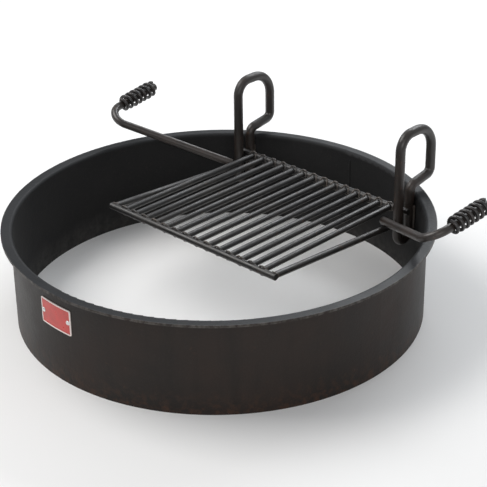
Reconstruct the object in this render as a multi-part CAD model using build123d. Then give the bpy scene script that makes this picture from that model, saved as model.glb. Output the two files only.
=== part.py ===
from build123d import *
import math
import os

# A round, open-bottomed steel fire ring with a lift-and-tilt cooking grate.
# Frame: +Z up, origin on the ring's axis at the ground, +Y towards the two
# support loops, -Y towards the cook, +X to the cook's right. Millimetres.

# ---- fire ring ----
RING_OUTER_RADIUS = 406.4       # edge of the top flange, a 32 in ring
RING_HEIGHT = 186.0
RING_PLATE = 4.8                # 3/16 in plate
FLANGE_REACH = 17.5             # flange beyond the outside of the wall
FLANGE_BEND = 2.5               # inside radius where the wall turns out

# ---- support loops ----
LOOP_ROD = 19.0                 # 3/4 in rod
LOOP_OUTSET = 2.1               # loops' centres outside the side bars' centres
LOOP_ABOVE_RIM = 129.0          # centre line of the top bend, over the rim
LOOP_SLACK = 2.3                # between the legs, past the crossbar's thickness
LOOP_TOP_DEPTH = 96.0           # front leg to upper rear leg, centres
LOOP_FRONT_BEND = 30.0          # over the front leg
LOOP_REAR_BEND = 48.0           # over the upper rear leg
LOOP_BELOW_RIM = 91.0           # centre line of the bottom of the U, under the rim
LOOP_BOTTOM_BEND = 16.0         # the two bends that turn the legs into a U
LOOP_JOINT = 20.0               # where the rod's ends meet, under the rim
LOOP_STEP_RISE = 9.0            # how much the step over the rim climbs
LOOP_STEP_BEND = 14.0
RIM_GAP = 8.0                   # under the step, above the flange

# ---- grate ----
FRAME_ROD = 12.7                # 1/2 in rod: crossbars and side bars
GRATE_ROD = 11.1                # 7/16 in cooking bars
GRATE_BARS = 14
GRATE_PITCH = 27.8
GRATE_DEPTH = 370.0             # front crossbar to rear crossbar, centres
GRATE_BELOW_RIM = 22.5          # front crossbar's centre under the rim, lowered
GRATE_FALL = 6.0                # rear crossbar lower than the front one
CROSSBAR_OVERHANG = 6.5         # front crossbar past the side bars' centres
SIDE_BAR_DROP = 28.0            # how much the side bar falls to the rear
SIDE_END_GAP = 0.7              # side bar's end to the loop's front leg
REAR_BAR_OVERHANG = 12.0        # rear crossbar past the loops' centres
RUNNING_GAP = 0.3               # between pieces that move past each other

# ---- handles ----
HANDLE_ROD = 15.9               # 5/8 in rod
HANDLE_SETBACK = 54.0           # rear crossbar to where the handle is welded
HANDLE_REACH = 213.0            # side bar to the handle's bend, along X
HANDLE_SPLAY = 35.6             # degrees forward of the X axis
HANDLE_RISE = 19.0              # degrees up, along the splayed line
HANDLE_END = 8.0                # handle rod past the side bar's centre
HANDLE_BEND = 31.0
GRIP_ROD_LENGTH = 159.0         # bend corner to the end of the rod
GRIP_RISE = 16.0                # climb over that length
GRIP_SPREAD = 8.0               # outwards over that length
GRIP_WIRE = 7.0
GRIP_INSIDE = 20.5              # inside diameter of the coil
GRIP_TURNS = 7
GRIP_PITCH = 13.4
GRIP_END_GAP = 2.0              # rod left showing past the coil

# ---- name plate ----
PLATE_WIDTH = 80.0
PLATE_HEIGHT = 50.0
PLATE_THICKNESS = 1.6
PLATE_ANGLE = -92.5             # degrees round the ring from +X
PLATE_BELOW_RIM = 58.0          # the plate's centre under the rim
RIVET_HEAD = 9.0
RIVET_DOME = 2.5
RIVET_SHANK = 4.0
RIVET_INSET = 6.5

# ---- worked out from the sizes above ----
WALL_OUTER = RING_OUTER_RADIUS - FLANGE_REACH
WALL_INNER = WALL_OUTER - RING_PLATE
PLATE_CENTRE_HEIGHT = RING_HEIGHT - PLATE_BELOW_RIM
FRONT_LEVEL = RING_HEIGHT - GRATE_BELOW_RIM
REAR_LEVEL = FRONT_LEVEL - GRATE_FALL
SIDE_X = GRATE_PITCH * (GRATE_BARS + 1) / 2
LOOP_X = SIDE_X + LOOP_OUTSET
LOOP_TOP = RING_HEIGHT + LOOP_ABOVE_RIM
LOOP_LEG_GAP = LOOP_ROD + FRAME_ROD + LOOP_SLACK
REAR_LEG_Y = math.sqrt((WALL_INNER - LOOP_ROD / 2 - RUNNING_GAP) ** 2 - LOOP_X**2)
FRONT_LEG_Y = REAR_LEG_Y - LOOP_LEG_GAP
UPPER_LEG_Y = FRONT_LEG_Y + LOOP_TOP_DEPTH
LOOP_BOTTOM = RING_HEIGHT - LOOP_BELOW_RIM
TOUCH = (LOOP_ROD + FRAME_ROD) / 2 + RUNNING_GAP
REAR_BAR_Y = FRONT_LEG_Y + TOUCH
FRONT_BAR_Y = REAR_BAR_Y - GRATE_DEPTH
SIDE_END_Y = FRONT_LEG_Y - LOOP_ROD / 2 - SIDE_END_GAP
SIDE_SLOPE = -SIDE_BAR_DROP / (SIDE_END_Y - FRONT_BAR_Y)


def rod(points, diameter, bends=()):
    """A round rod along straight runs joined by tangent bends."""
    if bends:
        path = FilletPolyline(*points, radius=list(bends))
    else:
        path = Polyline(*points)
    start = Plane(origin=path @ 0, z_dir=path % 0)
    return sweep(start * Circle(diameter / 2), path=path)


def save(shape, node):
    shape.label = node
    export_step(shape, f"parts/{node}.step")


def fire_ring():
    """One rolled plate: a wall whose top edge is turned outwards."""
    top = RING_HEIGHT
    bend_out = FLANGE_BEND + RING_PLATE
    with BuildPart() as ring:
        with BuildSketch(Plane.XZ):
            with BuildLine():
                Polyline(
                    (WALL_INNER, top - bend_out),
                    (WALL_INNER, 0),
                    (WALL_OUTER, 0),
                    (WALL_OUTER, top - bend_out),
                )
                RadiusArc(
                    (WALL_OUTER, top - bend_out),
                    (WALL_OUTER + FLANGE_BEND, top - RING_PLATE),
                    FLANGE_BEND,
                )
                Polyline(
                    (WALL_OUTER + FLANGE_BEND, top - RING_PLATE),
                    (RING_OUTER_RADIUS, top - RING_PLATE),
                    (RING_OUTER_RADIUS, top),
                    (WALL_INNER + bend_out, top),
                )
                RadiusArc(
                    (WALL_INNER + bend_out, top),
                    (WALL_INNER, top - bend_out),
                    -bend_out,
                )
            make_face()
        revolve(axis=Axis.Z)
    return ring.part


def support_loop(side):
    """A closed loop of rod. The rear leg lies on the inside of the wall,
    steps out over the rim and turns over the top into the front leg. The
    legs meet below in a U."""
    x = side * LOOP_X
    step_low = RING_HEIGHT + RIM_GAP + LOOP_ROD / 2
    step_high = step_low + LOOP_STEP_RISE
    joint = RING_HEIGHT - LOOP_JOINT
    points = [
        (x, REAR_LEG_Y, joint),
        (x, REAR_LEG_Y, LOOP_BOTTOM),
        (x, FRONT_LEG_Y, LOOP_BOTTOM),
        (x, FRONT_LEG_Y, LOOP_TOP),
        (x, UPPER_LEG_Y, LOOP_TOP),
        (x, UPPER_LEG_Y, step_high),
        (x, REAR_LEG_Y, step_low),
        (x, REAR_LEG_Y, joint + RUNNING_GAP),
    ]
    bends = [
        LOOP_BOTTOM_BEND,
        LOOP_BOTTOM_BEND,
        LOOP_FRONT_BEND,
        LOOP_REAR_BEND,
        LOOP_STEP_BEND,
        LOOP_STEP_BEND,
    ]
    return rod(points, LOOP_ROD, bends)


def crossbar(half_length, y, level, diameter=FRAME_ROD):
    return rod([(-half_length, y, level), (half_length, y, level)], diameter)


def grate_bar(index, front, rear):
    """A cooking bar, its ends shaped to the two crossbars. It falls a
    little to the rear, and clears the rear crossbar by the running gap."""
    x = -SIDE_X + GRATE_PITCH * (index + 1)
    bar = rod([(x, FRONT_BAR_Y, FRONT_LEVEL), (x, REAR_BAR_Y, REAR_LEVEL)], GRATE_ROD)
    return bar - front - rear


def side_bar(side):
    """Level with the cooking bars at the front, it falls to the rear and
    stops against the front leg of the loop."""
    x = side * SIDE_X
    points = [
        (x, FRONT_BAR_Y, FRONT_LEVEL),
        (x, SIDE_END_Y, FRONT_LEVEL - SIDE_BAR_DROP),
    ]
    seat = crossbar(SIDE_X + FRAME_ROD, FRONT_BAR_Y, FRONT_LEVEL, FRAME_ROD + RUNNING_GAP)
    return rod(points, FRAME_ROD) - seat


def handle_line():
    """The right handle's inner end, the corner of its bend, and the end of
    its grip. The arm lies across the top of the side bar."""
    splay = math.radians(HANDLE_SPLAY)
    rise = math.radians(HANDLE_RISE)
    arm = Vector(
        math.cos(splay) * math.cos(rise), -math.sin(splay) * math.cos(rise), math.sin(rise)
    )
    side_run = Vector(0, 1, SIDE_SLOPE).normalized()
    normal = side_run.cross(arm).normalized()
    rest_y = REAR_BAR_Y - HANDLE_SETBACK
    side_z = FRONT_LEVEL + SIDE_SLOPE * (rest_y - FRONT_BAR_Y)
    apart = (FRAME_ROD + HANDLE_ROD) / 2
    rest = Vector(SIDE_X, rest_y, side_z + apart / abs(normal.Z))
    inner = rest - arm * (HANDLE_END / arm.X)
    corner = rest + arm * (HANDLE_REACH / arm.X)
    end = corner + Vector(GRIP_SPREAD, GRIP_ROD_LENGTH, GRIP_RISE)
    return inner, corner, end


def mirrored(point, side):
    return (side * point.X, point.Y, point.Z)


def handle_rod(side):
    points = [mirrored(p, side) for p in handle_line()]
    return rod(points, HANDLE_ROD, [HANDLE_BEND])


def spring_grip(side):
    """A coil of wire that hangs on the straight end of the handle rod."""
    inner, corner, end = handle_line()
    coil_radius = (GRIP_INSIDE + GRIP_WIRE) / 2
    hang = (GRIP_INSIDE - HANDLE_ROD) / 2 - RUNNING_GAP
    back = (corner - end).normalized()
    tip = end + back * (GRIP_END_GAP + GRIP_WIRE / 2) - Vector(0, 0, hang)
    helix = Helix(pitch=GRIP_PITCH, height=GRIP_TURNS * GRIP_PITCH, radius=coil_radius)
    start = Plane(origin=helix @ 0, z_dir=helix % 0)
    coil = sweep(start * Circle(GRIP_WIRE / 2), path=helix, is_frenet=True)
    return Plane(origin=mirrored(tip, side), z_dir=mirrored(back, side)) * coil


def curved_plate():
    """The name plate, rolled to lie on the outside of the wall."""
    half = math.degrees(PLATE_WIDTH / 2 / WALL_OUTER)
    inner = WALL_OUTER + RUNNING_GAP / 3
    with BuildPart() as plate:
        with BuildSketch(Plane.XZ):
            with Locations((inner + PLATE_THICKNESS / 2, PLATE_CENTRE_HEIGHT)):
                Rectangle(PLATE_THICKNESS, PLATE_HEIGHT)
        revolve(axis=Axis.Z, revolution_arc=2 * half)
    return plate.part.rotate(Axis.Z, PLATE_ANGLE - half)


def rivet_places():
    inset = math.degrees((PLATE_WIDTH / 2 - RIVET_INSET) / WALL_OUTER)
    return [PLATE_ANGLE - inset, PLATE_ANGLE + inset]


def rivet(angle, growth=0.0):
    """A domed head outside the plate and a shank through plate and wall."""
    face = WALL_OUTER + RUNNING_GAP / 3 + PLATE_THICKNESS
    cap_radius = (RIVET_HEAD**2 / 4 + RIVET_DOME**2) / (2 * RIVET_DOME)
    shank = Cylinder(RIVET_SHANK / 2 + growth, face - WALL_INNER + 1.0)
    shank = Pos(0, 0, (WALL_INNER + face - 1.0) / 2 + 1.0) * shank
    if growth:
        body = shank
    else:
        ball = Pos(0, 0, face + 0.05 + RIVET_DOME - cap_radius) * Sphere(cap_radius)
        keep = Pos(0, 0, face + 0.05 + RIVET_DOME) * Cylinder(RIVET_HEAD, 2 * RIVET_DOME)
        body = (ball & keep) + shank
    turned = Rot(0, 90, 0) * body
    return Pos(0, 0, PLATE_CENTRE_HEIGHT) * (Rot(0, 0, angle) * turned)


def main():
    os.makedirs("parts", exist_ok=True)
    ring = fire_ring()
    plate = curved_plate()
    rivets = []
    for angle in rivet_places():
        hole = rivet(angle, growth=0.1)
        ring = ring - hole
        plate = plate - hole
        rivets.append(rivet(angle))
    save(ring, "fire_ring")
    save(plate, "name_plate")
    save(Compound(children=rivets), "name_plate_rivets")

    front = crossbar(SIDE_X + CROSSBAR_OVERHANG, FRONT_BAR_Y, FRONT_LEVEL)
    save(front, "front_crossbar")
    rear_length = LOOP_X + REAR_BAR_OVERHANG
    save(crossbar(rear_length, REAR_BAR_Y, REAR_LEVEL), "rear_crossbar")
    rear_space = crossbar(rear_length, REAR_BAR_Y, REAR_LEVEL, FRAME_ROD + 2 * RUNNING_GAP)
    for index in range(GRATE_BARS):
        save(grate_bar(index, front, rear_space), f"grate_bar_{index + 1:02d}")

    for side, name in ((-1, "left"), (1, "right")):
        save(support_loop(side), f"support_loop_{name}")
        save(side_bar(side), f"side_bar_{name}")
        save(handle_rod(side), f"handle_rod_{name}")
        save(spring_grip(side), f"spring_grip_{name}")

    inner, corner, end = handle_line()
    print("rear crossbar at y", round(REAR_BAR_Y, 1), "front crossbar at y", round(FRONT_BAR_Y, 1))
    print("rear crossbar level", REAR_LEVEL, "loop bottom", LOOP_BOTTOM)
    print("front leg y", round(FRONT_LEG_Y, 1), "rear leg y", round(REAR_LEG_Y, 1))
    print("handle inner", inner, "corner", corner, "end", end)


main()
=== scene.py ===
# %% [markdown]
# # A steel campfire ring with a lifting grate
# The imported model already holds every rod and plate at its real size. This lesson dresses
# it: real finishes on the steel, and the pieces that solid modelling left plain, such as
# the wound grips, the enamelled name plate and the weld beads. Everything is in metres.

# %% Load the frame
import math

import bpy
from mathutils import Matrix, Vector


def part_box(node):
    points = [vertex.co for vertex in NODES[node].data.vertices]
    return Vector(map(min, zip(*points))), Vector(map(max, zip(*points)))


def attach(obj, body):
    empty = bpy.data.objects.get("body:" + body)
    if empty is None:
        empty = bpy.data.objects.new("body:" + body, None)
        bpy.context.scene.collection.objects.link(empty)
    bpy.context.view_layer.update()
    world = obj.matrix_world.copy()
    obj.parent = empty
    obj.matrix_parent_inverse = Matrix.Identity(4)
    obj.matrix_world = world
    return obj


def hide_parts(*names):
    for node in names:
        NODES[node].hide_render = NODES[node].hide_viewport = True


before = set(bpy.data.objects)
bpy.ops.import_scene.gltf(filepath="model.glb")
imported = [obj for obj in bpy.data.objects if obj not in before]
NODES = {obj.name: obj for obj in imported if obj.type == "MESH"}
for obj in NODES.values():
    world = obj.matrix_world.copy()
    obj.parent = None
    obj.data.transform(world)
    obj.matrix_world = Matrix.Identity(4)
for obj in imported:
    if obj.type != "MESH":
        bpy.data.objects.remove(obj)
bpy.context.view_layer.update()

MM = 0.001

# %% [markdown]
# ## Sizes read from the frame
# Each place below is measured on a node of the frame, so that the new pieces follow the
# model when a size in it changes. A box gives the thickness of a straight rod that lies along
# an axis. The cooking bars fall a little towards the rear, so their box is taller than they
# are thick, and the beads sized by its height stand about 1.5 mm clear of the bars.


# %% Measure the ring, the grate and the loops
def middle(node):
    low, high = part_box(node)
    return (Vector(low) + Vector(high)) / 2


def extent(node):
    low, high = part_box(node)
    return Vector(high) - Vector(low)


RING_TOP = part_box("fire_ring")[1][2]
RIM_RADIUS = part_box("fire_ring")[1][0]
REAR_BAR = middle("rear_crossbar")
FRONT_BAR = middle("front_crossbar")
FRAME_ROD = extent("front_crossbar").z
BAR_BOX_HEIGHT = extent("grate_bar_01").z
LOOP_ROD = extent("support_loop_left").x
RIGHT_LOOP = middle("support_loop_right")
SIDE_X = middle("side_bar_right").x
BAR_XS = [middle(n).x for n in sorted(NODES) if n.startswith("grate_bar_")]
print("rim radius", round(RIM_RADIUS, 4), "cooking bars", len(BAR_XS))

# %% [markdown]
# ## Shader sums in plain Python
# A finish is a small graph of nodes. Wrapping each socket in a class that understands
# `+`, `-` and `*` lets a mask be written as a sum, and one method adds any other node.


# %% Socket wrapper and finish builder
class Tone:
    """One output socket of a finish, ready for arithmetic."""

    def __init__(self, finish, socket):
        self.finish = finish
        self.socket = socket

    def _sum(self, operation, first, second):
        return self.finish.node("ShaderNodeMath", {"operation": operation}, {0: first, 1: second})

    def __add__(self, other):
        return self._sum("ADD", self, other)

    def __sub__(self, other):
        return self._sum("SUBTRACT", self, other)

    def __mul__(self, other):
        return self._sum("MULTIPLY", self, other)


class Finish:
    """A material under construction."""

    def __init__(self, name):
        self.material = bpy.data.materials.new(name)
        self.material.use_nodes = True
        self.tree = self.material.node_tree
        self.shader = self.tree.nodes["Principled BSDF"]

    def node(self, kind, settings=None, values=None, output=0):
        made = self.tree.nodes.new(kind)
        for key, value in (settings or {}).items():
            setattr(made, key, value)
        for key, value in (values or {}).items():
            self.feed(made.inputs[key], value)
        return Tone(self, made.outputs[output])

    def feed(self, socket, value):
        if isinstance(value, Tone):
            self.tree.links.new(value.socket, socket)
        else:
            socket.default_value = value

    def set(self, **values):
        for key, value in values.items():
            self.feed(self.shader.inputs[key.replace("_", " ")], value)

    def place(self):
        return self.node("ShaderNodeTexCoord", output="Object")

    def normal(self):
        return self.node("ShaderNodeNewGeometry", output="Normal")

    def scaled(self, vector, factors):
        settings = {"operation": "MULTIPLY"}
        return self.node("ShaderNodeVectorMath", settings, {0: vector, 1: factors})

    def part(self, vector, axis):
        return self.node("ShaderNodeSeparateXYZ", None, {0: vector}, output=axis)

    def noise(self, vector, scale, detail=4.0, roughness=0.55):
        values = {"Vector": vector, "Scale": scale, "Detail": detail, "Roughness": roughness}
        return self.node("ShaderNodeTexNoise", None, values)

    def ramp(self, value, low, high, bottom=0.0, top=1.0):
        values = {0: value, 1: low, 2: high, 3: bottom, 4: top}
        return self.node("ShaderNodeMapRange", {"clamp": True}, values)

    def mix(self, mask, first, second):
        values = {0: mask, 6: first, 7: second}
        return self.node("ShaderNodeMix", {"data_type": "RGBA"}, values, output=2)

    def bump(self, height, distance, strength=1.0, under=None):
        values = {"Height": height, "Distance": distance, "Strength": strength}
        if under is not None:
            values["Normal"] = under
        return self.node("ShaderNodeBump", None, values)


def paint(red, green, blue):
    return (red, green, blue, 1.0)


# %% [markdown]
# ## The ring's coating
# The ring is plate steel with a thin heat-proof black coating. Outside it has browned and
# picked up a little rust near the ground. Inside it is matt with soot, with pale ash dust
# low down. Faces that point up get a bluish grey tone, a painted sky reflection, and the
# flange's outer edge gets a painted highlight line that is partly edge wear. Which side a
# point is on comes from the angle between its normal and the line out from the ring's axis.


# %% Ring finish
def ring_coating():
    f = Finish("ring_coating")
    place = f.place()
    flat = f.scaled(place, (1.0, 1.0, 0.0))
    outward = f.node("ShaderNodeVectorMath", {"operation": "NORMALIZE"}, {0: flat})
    radius = f.node("ShaderNodeVectorMath", {"operation": "LENGTH"}, {0: flat}, output="Value")
    normal = f.normal()
    facing = f.node(
        "ShaderNodeVectorMath", {"operation": "DOT_PRODUCT"}, {0: outward, 1: normal}, output="Value"
    )
    inside = f.ramp(facing, -0.1, -0.6)
    upward = f.ramp(f.part(normal, 2), 0.35, 0.9)
    height = f.part(place, 2)

    clouds = f.noise(place, 5.0, 5.0, 0.6)
    grain = f.noise(place, 240.0, 3.0, 0.6)
    runs = f.noise(f.scaled(place, (26.0, 26.0, 2.2)), 1.0, 4.0, 0.6)
    speckle = f.noise(place, 70.0, 6.0, 0.7)

    dark, warm = paint(0.013, 0.0102, 0.0088), paint(0.023, 0.0150, 0.0118)
    brown = f.mix(f.ramp(clouds, 0.38, 0.66), dark, warm)
    brown = f.mix(f.ramp(runs, 0.45, 0.75, 0.0, 0.55), brown, paint(0.0090, 0.0076, 0.0068))
    near_ground = f.ramp(height, 0.05, 0.0) * f.ramp(speckle, 0.46, 0.62)
    rust = f.ramp(speckle, 0.64, 0.74) * 0.7 + near_ground * 0.75
    brown = f.mix(f.ramp(rust, 0.0, 1.0), brown, paint(0.055, 0.026, 0.015))

    soot = f.mix(f.ramp(clouds, 0.35, 0.7), paint(0.0045, 0.0046, 0.005), paint(0.011, 0.0108, 0.011))
    ash = f.ramp(height + runs * 0.045, 0.075, 0.03) * f.ramp(speckle, 0.35, 0.65, 0.25, 1.0)
    soot = f.mix(ash * 0.75, soot, paint(0.060, 0.057, 0.054))

    # painted sky reflection: surfaces that face up get a bluish grey tone
    sky_sheen = f.mix(f.ramp(clouds, 0.35, 0.65), paint(0.009, 0.010, 0.0115), paint(0.017, 0.018, 0.020))
    # painted highlight: a thin pale line along the flange's outer edge, partly edge wear
    wear_and_highlight = f.ramp(radius, RIM_RADIUS - 0.0022, RIM_RADIUS - 0.0002) * f.ramp(speckle, 0.4, 0.6)

    colour = f.mix(inside, brown, soot)
    colour = f.mix(upward, colour, sky_sheen)
    colour = f.mix(wear_and_highlight * 0.5, colour, paint(0.13, 0.12, 0.11))
    colour = f.mix(f.ramp(grain, 0.55, 0.8, 0.0, 0.35), colour, paint(0.032, 0.026, 0.022))

    rough = f.ramp(clouds, 0.3, 0.7, 0.42, 0.56) + inside * 0.2 - upward * 0.06
    skin = f.bump(grain, 0.0006, 0.5)
    skin = f.bump(f.noise(place, 18.0, 3.0), 0.004, 0.25, skin)
    f.set(Base_Color=colour, Roughness=rough, Normal=skin)
    f.set(Specular_IOR_Level=0.25)
    return f.material


RING_COATING = ring_coating()

# %% [markdown]
# ## The bar steel
# The loops and handles are plain hot-rolled rod: brown-black mill scale with a soft shine
# along the top. The cooking bars are blacker, seasoned with grease and dull with soot in
# places. One function makes all of them.


# %% Rod finishes
def rod_steel(name, dark, warm, smooth, dull, soot):
    f = Finish(name)
    place = f.place()
    clouds = f.noise(place, 16.0, 5.0, 0.6)
    grain = f.noise(place, 420.0, 3.0, 0.6)
    flecks = f.noise(place, 95.0, 6.0, 0.7)
    colour = f.mix(f.ramp(clouds, 0.36, 0.64), dark, warm)
    rust = f.ramp(flecks, 0.60, 0.72)
    colour = f.mix(rust * 0.6, colour, paint(0.115, 0.055, 0.030))
    sooty = f.ramp(f.noise(place, 7.0, 3.0), 0.45, 0.6, 0.0, soot)
    colour = f.mix(sooty, colour, paint(0.012, 0.012, 0.013))
    wear_and_highlight = f.ramp(grain, 0.62, 0.8, 0.0, 0.5)
    colour = f.mix(wear_and_highlight, colour, paint(0.13, 0.115, 0.10))
    rough = f.ramp(clouds, 0.3, 0.7, smooth, dull) + rust * 0.2 + sooty * 0.15
    skin = f.bump(grain, 0.0004, 0.55)
    skin = f.bump(flecks, 0.0012, 0.4, skin)
    f.set(Base_Color=colour, Roughness=rough, Normal=skin)
    f.set(Specular_IOR_Level=0.6)
    return f.material


LOOP_STEEL = rod_steel(
    "loop_steel", paint(0.013, 0.0105, 0.009), paint(0.024, 0.0168, 0.0132), 0.30, 0.46, 0.2
)
HANDLE_STEEL = rod_steel(
    "handle_steel", paint(0.016, 0.0128, 0.0108), paint(0.030, 0.0215, 0.017), 0.26, 0.42, 0.15
)
GRATE_STEEL = rod_steel(
    "grate_steel", paint(0.009, 0.0088, 0.0088), paint(0.019, 0.0162, 0.014), 0.28, 0.5, 0.7
)
WELD_METAL = rod_steel(
    "weld_metal", paint(0.040, 0.036, 0.034), paint(0.075, 0.058, 0.045), 0.34, 0.5, 0.4
)

# %% [markdown]
# ## Grip wire, enamel and rivets
# The grips are black spring wire, worn a little brighter where a hand closes on them. The
# name plate is red enamel with a pale raised border, and its rivets are bright aluminium.


# %% Small finishes
def grip_wire():
    f = Finish("grip_wire")
    place = f.place()
    flecks = f.noise(place, 180.0, 5.0, 0.7)
    clouds = f.noise(place, 45.0, 3.0)
    colour = f.mix(f.ramp(clouds, 0.4, 0.65), paint(0.010, 0.0095, 0.0095), paint(0.026, 0.020, 0.018))
    colour = f.mix(f.ramp(flecks, 0.6, 0.72), colour, paint(0.10, 0.088, 0.078))
    f.set(Base_Color=colour, Roughness=f.ramp(clouds, 0.3, 0.7, 0.24, 0.42))
    f.set(Normal=f.bump(flecks, 0.0005, 0.4), Specular_IOR_Level=0.6)
    return f.material


def enamel(name, bright, faded):
    f = Finish(name)
    place = f.place()
    clouds = f.noise(place, 60.0, 5.0, 0.65)
    grime = f.noise(place, 320.0, 4.0, 0.7)
    colour = f.mix(f.ramp(clouds, 0.35, 0.7), bright, faded)
    colour = f.mix(f.ramp(grime, 0.6, 0.75, 0.0, 0.6), colour, paint(0.06, 0.03, 0.025))
    f.set(Base_Color=colour, Roughness=f.ramp(clouds, 0.3, 0.7, 0.25, 0.45))
    f.set(Normal=f.bump(clouds, 0.0004, 0.3), Coat_Weight=0.3)
    return f.material


def rivet_metal():
    f = Finish("rivet_metal")
    marks = f.noise(f.place(), 500.0, 4.0, 0.6)
    colour = f.mix(f.ramp(marks, 0.4, 0.7), paint(0.86, 0.86, 0.85), paint(0.62, 0.61, 0.59))
    f.set(Base_Color=colour, Roughness=f.ramp(marks, 0.3, 0.7, 0.22, 0.42))
    f.set(Normal=f.bump(marks, 0.0002, 0.4), Metallic=1.0)
    return f.material


GRIP_WIRE = grip_wire()
PLATE_RED = enamel("plate_red", paint(0.56, 0.030, 0.022), paint(0.42, 0.040, 0.032))
PLATE_PALE = enamel("plate_pale", paint(0.84, 0.76, 0.72), paint(0.72, 0.62, 0.58))
RIVET_METAL = rivet_metal()


# %% Give every node of the frame its finish
def finish_for(node):
    if node == "fire_ring":
        return RING_COATING
    if node.startswith("support_loop"):
        return LOOP_STEEL
    if node.startswith("handle_rod"):
        return HANDLE_STEEL
    if node.startswith("spring_grip"):
        return GRIP_WIRE
    if node == "name_plate":
        return PLATE_RED
    if node == "name_plate_rivets":
        return RIVET_METAL
    return GRATE_STEEL


for node_name, node_object in NODES.items():
    for material_slot in node_object.material_slots:
        material_slot.material = finish_for(node_name)
print("finishes:", len(bpy.data.materials))

# %% [markdown]
# ## Bench habits
# An operator works on whatever is selected, and the frame arrives selected, so each new
# piece starts with a clean selection. A finished piece has its place baked into its mesh.


# %% Helpers that start and finish a piece
def clear_bench():
    if bpy.context.object and bpy.context.object.mode != "OBJECT":
        bpy.ops.object.mode_set(mode="OBJECT")
    bpy.ops.object.select_all(action="DESELECT")


def edit(kind="VERT"):
    bpy.ops.object.mode_set(mode="EDIT")
    bpy.ops.mesh.select_mode(type=kind)


def done_editing():
    bpy.ops.object.mode_set(mode="OBJECT")


def finish_piece(piece, name, body, materials, angle=40):
    clear_bench()
    piece.select_set(True)
    bpy.context.view_layer.objects.active = piece
    bpy.ops.object.transform_apply(location=True, rotation=True, scale=True)
    piece.name = name
    piece.data.name = name
    piece.data.materials.clear()
    for material in materials:
        piece.data.materials.append(material)
    bpy.ops.object.shade_smooth_by_angle(angle=math.radians(angle))
    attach(piece, body)
    return piece


# %% [markdown]
# ## The wound grips
# Each grip is a coil of black wire that lets the rod stay cool in the hand. Its last turns
# close down on the rod, which is what holds it there. A ring of points for the wire, turned
# by the Screw modifier, gives the coil, and each end is then drawn in to the rod by code.
# The rod's own line is measured on the frame: the centre of its end, and the centre of the
# ring of points where its straight run starts.

# %% Measure the straight end of a handle rod
END_SLICE = 2.5 * MM        # points this close to the rearmost one belong to the rod's end
SKIP = 30 * MM              # points nearer to the end than this are passed over
RING_DEPTH = 0.3 * MM       # points of one ring are this close in distance from the end
GRIP_SIDE = RIM_RADIUS - 40 * MM    # the grip end lies further out than this, along X


def rod_end_line(node):
    """The centre of the rod's rear end, the direction back along its straight run, and the
    rod's radius."""
    points = [v.co.copy() for v in NODES[node].data.vertices if abs(v.co.x) > GRIP_SIDE]
    rear = max(p.y for p in points)
    cap = [p for p in points if p.y > rear - END_SLICE]
    end = sum(cap, Vector()) / len(cap)
    beyond = [p for p in points if (p - end).length > SKIP]
    nearest = min((p - end).length for p in beyond)
    start_ring = [p for p in beyond if (p - end).length < nearest + RING_DEPTH]
    start = sum(start_ring, Vector()) / len(start_ring)
    radius = max((p - end).length for p in cap)
    return end, (start - end).normalized(), radius


# %% Wind the two grips
WIRE = 7.0 * MM
COIL_OUTER = 34.5 * MM
TURNS = 7
COIL_PITCH = 13.4 * MM
COIL_STEPS = 26
WIRE_POINTS = 12
TIP_GAP = 2.0 * MM
WIRE_CLEARANCE = 0.1 * MM
CLOSING = 0.9               # turns at each end over which the coil closes on the rod
SWAY = 0.25 * MM            # how far hand-wound turns wander in and out
SWAY_RATE = 2.3


def wound_grip(side):
    end, back, rod_radius = rod_end_line(f"handle_rod_{side}")
    wide = (COIL_OUTER - WIRE) / 2
    tight = rod_radius + WIRE / 2 + WIRE_CLEARANCE
    clear_bench()
    bpy.ops.mesh.primitive_circle_add(
        vertices=WIRE_POINTS,
        radius=WIRE / 2,
        location=(wide, 0, 0),
        rotation=(math.pi / 2, 0, 0),
    )
    coil = bpy.context.object
    bpy.ops.object.transform_apply(location=True, rotation=True, scale=True)
    screw = coil.modifiers.new("wind", "SCREW")
    screw.axis = "Z"
    screw.screw_offset = COIL_PITCH
    screw.iterations = TURNS
    screw.steps = COIL_STEPS
    screw.render_steps = COIL_STEPS
    screw.use_merge_vertices = False
    bpy.ops.object.modifier_apply(modifier="wind")
    edit()
    bpy.ops.mesh.select_all(action="DESELECT")
    bpy.ops.mesh.select_non_manifold()
    bpy.ops.mesh.edge_face_add()
    bpy.ops.mesh.select_all(action="SELECT")
    bpy.ops.mesh.normals_make_consistent(inside=False)
    done_editing()
    last_step = TURNS * COIL_STEPS
    for index, vertex in enumerate(coil.data.vertices):
        turn = min(index // WIRE_POINTS, last_step) / COIL_STEPS
        from_end = min(turn, TURNS - turn)
        closed = max(0.0, 1.0 - from_end / CLOSING)
        closed = closed * closed * (3 - 2 * closed)
        sway = SWAY * math.sin(SWAY_RATE * turn + (1 if side == "left" else 0))
        out = Vector((vertex.co.x, vertex.co.y, 0))
        out.normalize()
        vertex.co -= out * (closed * (wide - tight) + sway * (1 - closed))
    turned = back.to_track_quat("Z", "X").to_matrix().to_4x4()
    start = end + back * (TIP_GAP + WIRE / 2)
    coil.data.transform(Matrix.Translation(start) @ turned)
    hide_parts(f"spring_grip_{side}")
    return finish_piece(coil, f"wound_grip_{side}", "grate", [GRIP_WIRE], 60)


for side_name in ("left", "right"):
    grip = wound_grip(side_name)
    print(grip.name, "faces", len(grip.data.polygons))

# %% [markdown]
# ## The name plate
# A thin enamelled plate with rounded corners and a raised pale border, left blank inside.
# It starts flat as a plane: the corners are rounded with a vertex bevel, the border is an
# inset, and the field is pushed in. Cuts across it let it roll round the wall like sheet.

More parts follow.
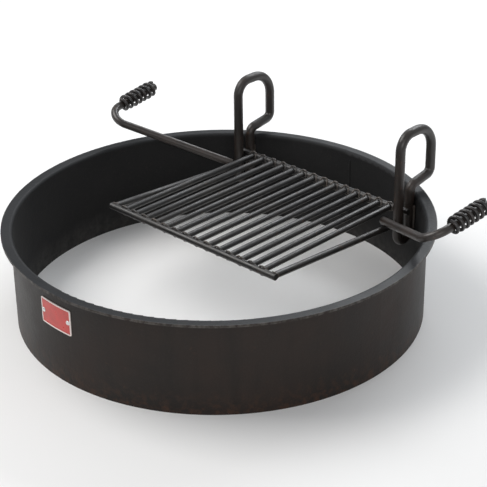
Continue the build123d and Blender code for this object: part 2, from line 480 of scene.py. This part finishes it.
# %% Press, cut and roll the plate
plate_low, plate_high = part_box("name_plate")
PLATE_MIDDLE = middle("name_plate")
PLATE_ANGLE = math.atan2(PLATE_MIDDLE.y, PLATE_MIDDLE.x)
plate_points = [v.co for v in NODES["name_plate"].data.vertices]
PLATE_RADIUS = max(math.hypot(p.x, p.y) for p in plate_points)
PLATE_BACK = min(math.hypot(p.x, p.y) for p in plate_points)
plate_angles = [math.atan2(p.y, p.x) for p in plate_points]
PLATE_LENGTH = (max(plate_angles) - min(plate_angles)) * PLATE_BACK
PLATE_HEIGHT = plate_high[2] - plate_low[2]
BORDER = 2.6 * MM
FIELD_DEPTH = 0.45 * MM
FIELD_SLOPE = 0.4 * MM
CORNER = 3.5 * MM
ROLL_CUTS = 24


def rounded_plate():
    clear_bench()
    bpy.ops.mesh.primitive_plane_add(size=1.0)
    plate = bpy.context.object
    plate.scale = (PLATE_LENGTH, PLATE_HEIGHT, 1.0)
    bpy.ops.object.transform_apply(location=True, rotation=True, scale=True)
    edit()
    bpy.ops.mesh.select_all(action="SELECT")
    bpy.ops.mesh.bevel(offset=CORNER, segments=5, affect="VERTICES")
    bpy.ops.mesh.select_all(action="SELECT")
    bpy.ops.mesh.inset(thickness=BORDER, depth=0)
    bpy.ops.mesh.inset(thickness=FIELD_SLOPE, depth=-FIELD_DEPTH)
    done_editing()
    return plate


def plate_zones(plate):
    """Border faces get the pale enamel, and the rest the red."""
    half_long = PLATE_LENGTH / 2 - BORDER
    half_high = PLATE_HEIGHT / 2 - BORDER
    for face in plate.data.polygons:
        on_border = abs(face.center.x) > half_long or abs(face.center.y) > half_high
        face.material_index = 1 if on_border else 0


plate = rounded_plate()
plate.data.materials.append(PLATE_RED)
plate.data.materials.append(PLATE_PALE)
plate_zones(plate)
edit()
for cut in range(1, ROLL_CUTS):
    bpy.ops.mesh.select_all(action="SELECT")
    across = (cut / ROLL_CUTS - 0.5) * PLATE_LENGTH
    bpy.ops.mesh.bisect(plane_co=(across, 0, 0), plane_no=(1, 0, 0))
bpy.ops.mesh.select_all(action="SELECT")
bpy.ops.mesh.extrude_region_move(
    TRANSFORM_OT_translate={"value": (0, 0, -(PLATE_RADIUS - PLATE_BACK))}
)
bpy.ops.mesh.select_all(action="SELECT")
bpy.ops.mesh.normals_make_consistent(inside=False)
done_editing()
for vertex in plate.data.vertices:
    around = PLATE_ANGLE + vertex.co.x / PLATE_BACK
    out = PLATE_RADIUS + vertex.co.z
    height = PLATE_MIDDLE.z + vertex.co.y
    vertex.co = Vector((out * math.cos(around), out * math.sin(around), height))
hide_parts("name_plate")
zones = [face.material_index for face in plate.data.polygons]
finish_piece(plate, "enamel_plate", "fire_ring", [PLATE_RED, PLATE_PALE], 30)
for face, zone in zip(plate.data.polygons, zones):
    face.material_index = zone
print("plate", round(PLATE_LENGTH, 4), "by", round(PLATE_HEIGHT, 4))

# %% [markdown]
# ## Weld beads
# Every cooking bar is welded to both crossbars, and each side bar to the front one. A bead
# is a soft ring that follows the saddle where a bar meets a round crossbar, with small
# ripples from each dab of metal. Each bead starts as a torus and is bent to the saddle.

# %% Beads at the ends of the bars
BEAD = 1.7 * MM
BEAD_OUTSET = 0.3 * MM
BEAD_LIFT = 0.4 * MM
SADDLE_SHARE = 0.96         # the saddle is followed this far up the crossbar's side
RIPPLES = 8


def saddle_bead(name, x, crossbar, direction, opening, seed):
    clear_bench()
    ring_radius = opening + BEAD_OUTSET
    bpy.ops.mesh.primitive_torus_add(
        major_segments=30,
        minor_segments=8,
        major_radius=ring_radius,
        minor_radius=BEAD,
        rotation=(math.pi / 2, 0, 0),
    )
    bead = bpy.context.object
    bpy.ops.object.transform_apply(location=True, rotation=True, scale=True)
    cross_radius = FRAME_ROD / 2
    for vertex in bead.data.vertices:
        around = math.atan2(vertex.co.z, vertex.co.x)
        spine = Vector((math.cos(around), 0, math.sin(around))) * ring_radius
        ripple = 1.0 + 0.16 * math.sin(RIPPLES * around + seed)
        ripple += 0.1 * math.sin(3 * around + 2 * seed)
        rise = min(abs(spine.z), cross_radius * SADDLE_SHARE)
        seat = math.sqrt(cross_radius**2 - rise**2)
        vertex.co = spine + (vertex.co - spine) * ripple
        vertex.co.y += direction * (seat + BEAD_LIFT)
    bead.location = (x, crossbar.y, crossbar.z)
    return finish_piece(bead, name, "grate", [WELD_METAL], 60)


for index, x in enumerate(BAR_XS):
    saddle_bead(f"front_bead_{index + 1:02d}", x, FRONT_BAR, 1, BAR_BOX_HEIGHT / 2, index * 1.7)
    saddle_bead(f"rear_bead_{index + 1:02d}", x, REAR_BAR, -1, BAR_BOX_HEIGHT / 2, index * 2.1 + 1)
saddle_bead("side_bead_left", -SIDE_X, FRONT_BAR, 1, FRAME_ROD / 2, 0.7)
saddle_bead("side_bead_right", SIDE_X, FRONT_BAR, 1, FRAME_ROD / 2, 2.9)
print("saddle beads:", 2 * len(BAR_XS) + 2)

# %% [markdown]
# ## Long weld beads
# The loops are welded up both sides of the leg that lies on the wall, and the ring's plate
# is closed by one upright seam at the back. A run of weld is a round section pushed out a
# dab at a time, swelling and shrinking as it goes.

# %% Runs of weld
DAB = 2.6 * MM
TAPER = 0.35                # a run starts and ends at this share of its radius


def weld_run(name, start, finish, radius, body, seed=0.0, metal=WELD_METAL):
    line = finish - start
    dabs = max(3, round(line.length / DAB))
    step = line / dabs
    clear_bench()
    turn = line.to_track_quat("Z", "X").to_euler()
    bpy.ops.mesh.primitive_circle_add(
        vertices=10, radius=radius * TAPER, fill_type="NGON", location=start, rotation=turn
    )
    run = bpy.context.object
    bpy.ops.object.transform_apply(location=True, rotation=True, scale=True)
    edit("FACE")
    bpy.ops.mesh.select_all(action="SELECT")
    size = TAPER
    for dab in range(dabs):
        wanted = 1.0 + 0.14 * math.sin(2.4 * dab + seed) + 0.06 * math.sin(0.9 * dab)
        if dab == dabs - 1:
            wanted = TAPER
        here = start + step * (dab + 1)
        bpy.ops.mesh.extrude_region_move(TRANSFORM_OT_translate={"value": step})
        factor = wanted / size
        bpy.ops.transform.resize(value=(factor, factor, factor), center_override=here)
        size = wanted
    bpy.ops.mesh.select_all(action="SELECT")
    bpy.ops.mesh.normals_make_consistent(inside=False)
    done_editing()
    return finish_piece(run, name, body, [metal], 70)


ring_points = [v.co for v in NODES["fire_ring"].data.vertices]
WALL_INNER = min(math.hypot(p.x, p.y) for p in ring_points)
WALL_OUTER = max(math.hypot(p.x, p.y) for p in ring_points if p.z < 1 * MM)
print("wall", round(WALL_INNER, 4), round(WALL_OUTER, 4))

SEAM_LOW = 4 * MM
SEAM_TOP = RING_TOP - 16 * MM
SEAM_SINK = 0.8 * MM
for seam_name, seam_y, seam_radius, seed in (
    ("outer_seam", WALL_OUTER - SEAM_SINK, 2.6 * MM, 0.0),
    ("inner_seam", WALL_INNER + SEAM_SINK, 2.4 * MM, 1.3),
):
    low = Vector((0, seam_y, SEAM_LOW))
    top = Vector((0, seam_y, SEAM_TOP))
    weld_run(seam_name, low, top, seam_radius, "fire_ring", seed, RING_COATING)

LEG_WELD_TOP = RING_TOP - 21 * MM
LEG_WELD_LOW = LEG_WELD_TOP - 50 * MM
LEG_WELD_ANGLE = math.radians(44)
LEG_WELD_OUTSET = 0.9 * MM
LEG_WELD_RADIUS = 2.7 * MM
leg_radius = WALL_INNER - LOOP_ROD / 2
reach = LOOP_ROD / 2 + LEG_WELD_OUTSET
for side_name, sign in (("left", -1), ("right", 1)):
    leg_x = sign * RIGHT_LOOP.x
    leg_y = math.sqrt(leg_radius**2 - leg_x**2)
    out = math.atan2(leg_y, leg_x)
    for number, offset in enumerate((-LEG_WELD_ANGLE, LEG_WELD_ANGLE)):
        x = leg_x + reach * math.cos(out + offset)
        y = leg_y + reach * math.sin(out + offset)
        weld_run(
            f"loop_weld_{side_name}_{number + 1}",
            Vector((x, y, LEG_WELD_LOW)),
            Vector((x, y, LEG_WELD_TOP)),
            LEG_WELD_RADIUS,
            "fire_ring",
            number * 2.0 + sign,
        )


# %% [markdown]
# ## Floor, light and camera
# A plain pale floor and large soft lights, as in a product studio: a wide key from above
# and to the left, a weaker fill from the right, and a strip behind that draws the thin
# highlights along the rods.


# %% Floor
def pale_floor():
    f = Finish("pale_floor")
    soft = f.noise(f.place(), 1.5, 2.0)
    f.set(Base_Color=f.mix(soft, paint(0.86, 0.86, 0.855), paint(0.88, 0.88, 0.875)), Roughness=0.9)
    f.set(Specular_IOR_Level=0.1)
    return f.material


clear_bench()
bpy.ops.mesh.primitive_plane_add(size=30.0, location=(0, 0, 0))
floor = bpy.context.object
floor.name = "floor"
floor.data.materials.append(pale_floor())


# %% Lights
def soft_box(name, place, aim, size, power, tint=(1.0, 1.0, 1.0)):
    bpy.ops.object.light_add(type="AREA", location=place)
    lamp = bpy.context.object
    lamp.name = name
    lamp.data.shape = "RECTANGLE"
    lamp.data.size, lamp.data.size_y = size
    lamp.data.energy = power
    lamp.data.color = tint
    lamp.rotation_euler = (Vector(aim) - Vector(place)).to_track_quat("-Z", "Y").to_euler()
    return lamp


clear_bench()
soft_box("key", (-1.6, -0.9, 2.6), (0, 0.1, 0.1), (2.2, 1.6), 62, (1.0, 0.98, 0.96))
soft_box("fill", (2.6, -1.6, 1.5), (0, 0, 0.1), (1.8, 1.4), 20, (1.0, 0.97, 0.94))
soft_box("back_strip", (-0.6, 2.4, 2.0), (0, 0.2, 0.2), (2.4, 0.7), 40, (0.94, 0.97, 1.0))

world = bpy.data.worlds.new("studio")
bpy.context.scene.world = world
world.use_nodes = True
world.node_tree.nodes["Background"].inputs["Color"].default_value = (0.95, 0.97, 1.0, 1.0)
world.node_tree.nodes["Background"].inputs["Strength"].default_value = 0.5
bpy.context.scene.view_settings.view_transform = "Standard"

# %% Camera
AZIMUTH = math.radians(43.8)
ELEVATION = math.radians(26.4)
ROLL = math.radians(-0.8)
DISTANCE = 2.741
AIM = Vector((0.031, 0.030, 0.186))
toward = Vector(
    (
        math.sin(AZIMUTH) * math.cos(ELEVATION),
        -math.cos(AZIMUTH) * math.cos(ELEVATION),
        math.sin(ELEVATION),
    )
)
bpy.ops.object.camera_add(location=AIM + toward * DISTANCE)
camera = bpy.context.object
camera.rotation_mode = "QUATERNION"
tilt = Matrix.Rotation(ROLL, 4, "Z").to_quaternion()
camera.rotation_quaternion = (-toward).to_track_quat("-Z", "Y") @ tilt
camera.data.sensor_width = 36.0
camera.data.lens = 108.0
camera.data.shift_x = 0.003
camera.data.shift_y = -0.060
camera.data.clip_start = 0.01
bpy.context.scene.camera = camera
